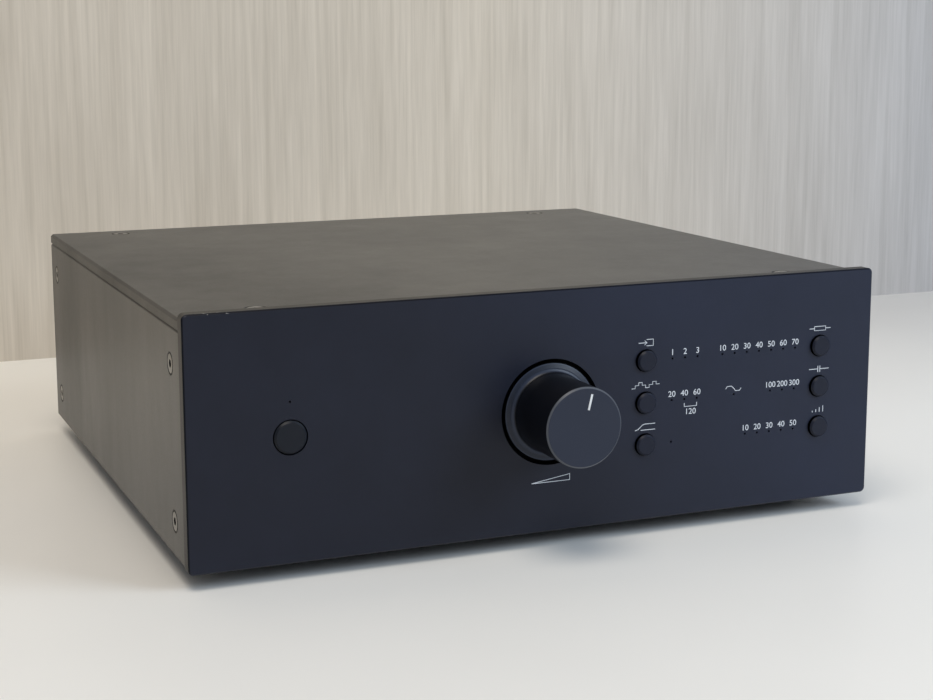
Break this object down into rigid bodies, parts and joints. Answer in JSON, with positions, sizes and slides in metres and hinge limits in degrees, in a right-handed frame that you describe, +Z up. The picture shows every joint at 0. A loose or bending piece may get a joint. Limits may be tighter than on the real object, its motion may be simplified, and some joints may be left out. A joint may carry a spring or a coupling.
{
  "type": "phono preamp",
  "caption": "Low black metal phono preamp with a turned level knob, round push keys, rows of pinhole lamps and sockets behind.",
  "frame": {"origin": "middle of the bounding box, at the level that the feet stand on", "axes": "+X to the right seen from the front, +Y to the rear, +Z up; the front panel and its knob face -Y"},
  "size_m": [0.206, 0.2266, 0.072],
  "materials": {
    "anodised_panel": "satin anodised",
    "anodised_case": "satin anodised",
    "zinc_steel": "zinc plated",
    "painted_steel": "fine matt powder coat",
    "black_steel": "black oxide",
    "rubber": "matt",
    "anodised_knob": "satin anodised, turned",
    "nickel": "turned",
    "control_body": "moulded",
    "lamp_white": "moulded",
    "clear_plastic": "moulded clear",
    "circuit_board": "solder mask",
    "component_white": "moulded",
    "component_red": "dipped",
    "can_sleeve": "shrunk sleeve",
    "component_black": "moulded",
    "black_aluminium": "black anodised extrusion",
    "grey_ribbon": "ribbed",
    "black_moulding": "moulded",
    "gold": "gold plated",
    "white_insulator": "moulded",
    "red_insulator": "moulded",
    "socket_insert": "moulded",
    "dark_flap": "moulded",
    "anodised_key": "satin anodised, turned"
  },
  "bodies": {
    "case": {"front_panel": "anodised_panel", "front_frame": "zinc_steel", "rear_frame": "zinc_steel", "rear_panel": "painted_steel", "top_cover": "anodised_case", "left_side_panel": "anodised_case", "right_side_panel": "anodised_case", "bottom_plate": "painted_steel", "cover_screws": "black_steel", "bottom_screws": "black_steel", "side_screws": "black_steel", "rear_panel_screws": "black_steel", "panel_screws": "zinc_steel", "feet": "rubber", "pot_body": "control_body", "pot_nut": "nickel", "button_switches": "control_body", "indicator_leds": "lamp_white", "light_pipes": "clear_plastic", "front_board": "circuit_board", "panel_standoffs": "nickel", "main_board": "circuit_board", "board_pillars": "nickel", "board_screws": "zinc_steel", "signal_relays": "component_white", "film_capacitors": "component_red", "electrolytic_capacitors": "can_sleeve", "circuit_chips": "component_black", "heat_sink": "black_aluminium", "voltage_regulators": "component_black", "ribbon_connectors": "component_black", "ribbon_cable": "grey_ribbon", "jack_blocks": "black_moulding", "jack_sleeves": "gold", "jack_insulators_white": "white_insulator", "jack_insulators_red": "red_insulator", "jack_contacts": "gold", "jack_block_screws": "black_steel", "usb_shell": "nickel", "usb_core": "socket_insert", "optical_socket": "black_moulding", "dc_inlet": "black_moulding", "dc_pin": "nickel", "ground_post": "gold", "ground_lock_nut": "zinc_steel"},
    "knob": {"level_knob": "anodised_knob", "knob_set_screw": "black_steel", "pot_shaft": "nickel"},
    "power_button": {"power_button": "anodised_key"},
    "optical_flap": {"optical_flap": "dark_flap"},
    "ground_washer": {"ground_washer": "gold"},
    "ground_nut": {"ground_nut": "gold"},
    "input_button": {"input_button": "anodised_key"},
    "rate_button": {"rate_button": "anodised_key"},
    "filter_button": {"filter_button": "anodised_key"},
    "resistance_button": {"resistance_button": "anodised_key"},
    "capacitance_button": {"capacitance_button": "anodised_key"},
    "gain_button": {"gain_button": "anodised_key"}
  },
  "joints": [
    {"name": "level_turn", "type": "hinge", "parent": "case", "child": "knob", "pos_m": [-0.0011, -0.09275, 0.0382], "axis": [0, 1, 0], "range_deg": [-163.5, 136.5]},
    {"name": "input_press", "type": "slide", "parent": "case", "child": "input_button", "axis": [0, 1, 0], "range_m": [0, 0.0005], "stiffness_N_per_m": 600, "springref_m": -0.0004},
    {"name": "rate_press", "type": "slide", "parent": "case", "child": "rate_button", "axis": [0, 1, 0], "range_m": [0, 0.0005], "stiffness_N_per_m": 600, "springref_m": -0.0004},
    {"name": "filter_press", "type": "slide", "parent": "case", "child": "filter_button", "axis": [0, 1, 0], "range_m": [0, 0.0005], "stiffness_N_per_m": 600, "springref_m": -0.0004},
    {"name": "resistance_press", "type": "slide", "parent": "case", "child": "resistance_button", "axis": [0, 1, 0], "range_m": [0, 0.0005], "stiffness_N_per_m": 600, "springref_m": -0.0004},
    {"name": "capacitance_press", "type": "slide", "parent": "case", "child": "capacitance_button", "axis": [0, 1, 0], "range_m": [0, 0.0005], "stiffness_N_per_m": 600, "springref_m": -0.0004},
    {"name": "gain_press", "type": "slide", "parent": "case", "child": "gain_button", "axis": [0, 1, 0], "range_m": [0, 0.0005], "stiffness_N_per_m": 600, "springref_m": -0.0004},
    {"name": "power_press", "type": "slide", "parent": "case", "child": "power_button", "axis": [0, 1, 0], "range_m": [0, 0.0005], "stiffness_N_per_m": 600, "springref_m": -0.0004},
    {"name": "flap_swing", "type": "hinge", "parent": "case", "child": "optical_flap", "pos_m": [-0.013, 0.09955, 0.0259], "axis": [-1, 0, 0], "range_deg": [0, 78], "stiffness_Nm_per_rad": 0.0004, "springref_deg": -20.05},
    {"name": "terminal_nut_slide", "type": "slide", "parent": "case", "child": "ground_washer", "axis": [0, 1, 0], "range_m": [0, 0.0021]},
    {"name": "terminal_nut_turn", "type": "hinge", "parent": "ground_washer", "child": "ground_nut", "pos_m": [0.063, 0.10305, 0.0332], "axis": [0, 1, 0], "range_deg": [0, 1080]}
  ],
  "couplings": [
    {"joint": "terminal_nut_turn", "follows": "terminal_nut_slide", "rad_per_m": 8976}
  ]
}
